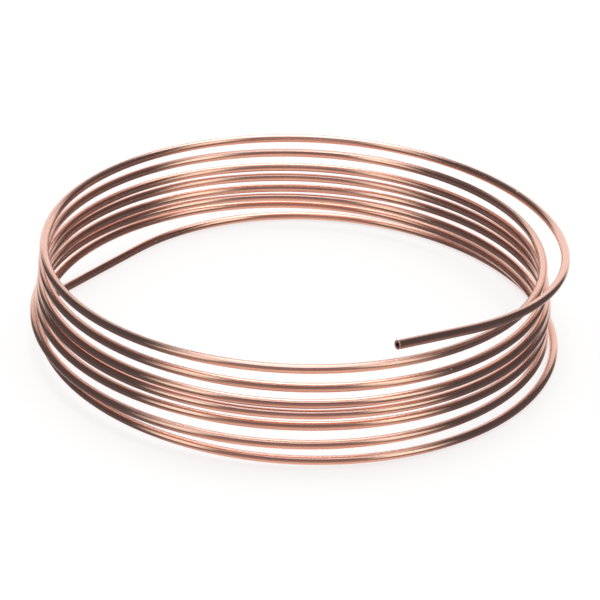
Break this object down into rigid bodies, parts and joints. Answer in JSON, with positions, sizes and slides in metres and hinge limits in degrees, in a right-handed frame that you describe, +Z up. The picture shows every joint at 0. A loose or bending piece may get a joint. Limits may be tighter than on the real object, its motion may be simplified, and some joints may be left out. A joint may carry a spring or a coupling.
{
  "type": "copper tube coil",
  "caption": "Open round coil of small-bore soft copper tube lying flat, with one free end over the top turn and a straight tail on the floor.",
  "frame": {"origin": "middle of the coil's box, on the floor that it lies on", "axes": "+Z up along the coil's axis, +X to the right and +Y to the back, with the free end at the front right"},
  "size_m": [0.1926, 0.1932, 0.0511],
  "materials": {
    "copper": "bright drawn copper"
  },
  "bodies": {
    "root": {"copper_tube": "copper"}
  },
  "joints": []
}
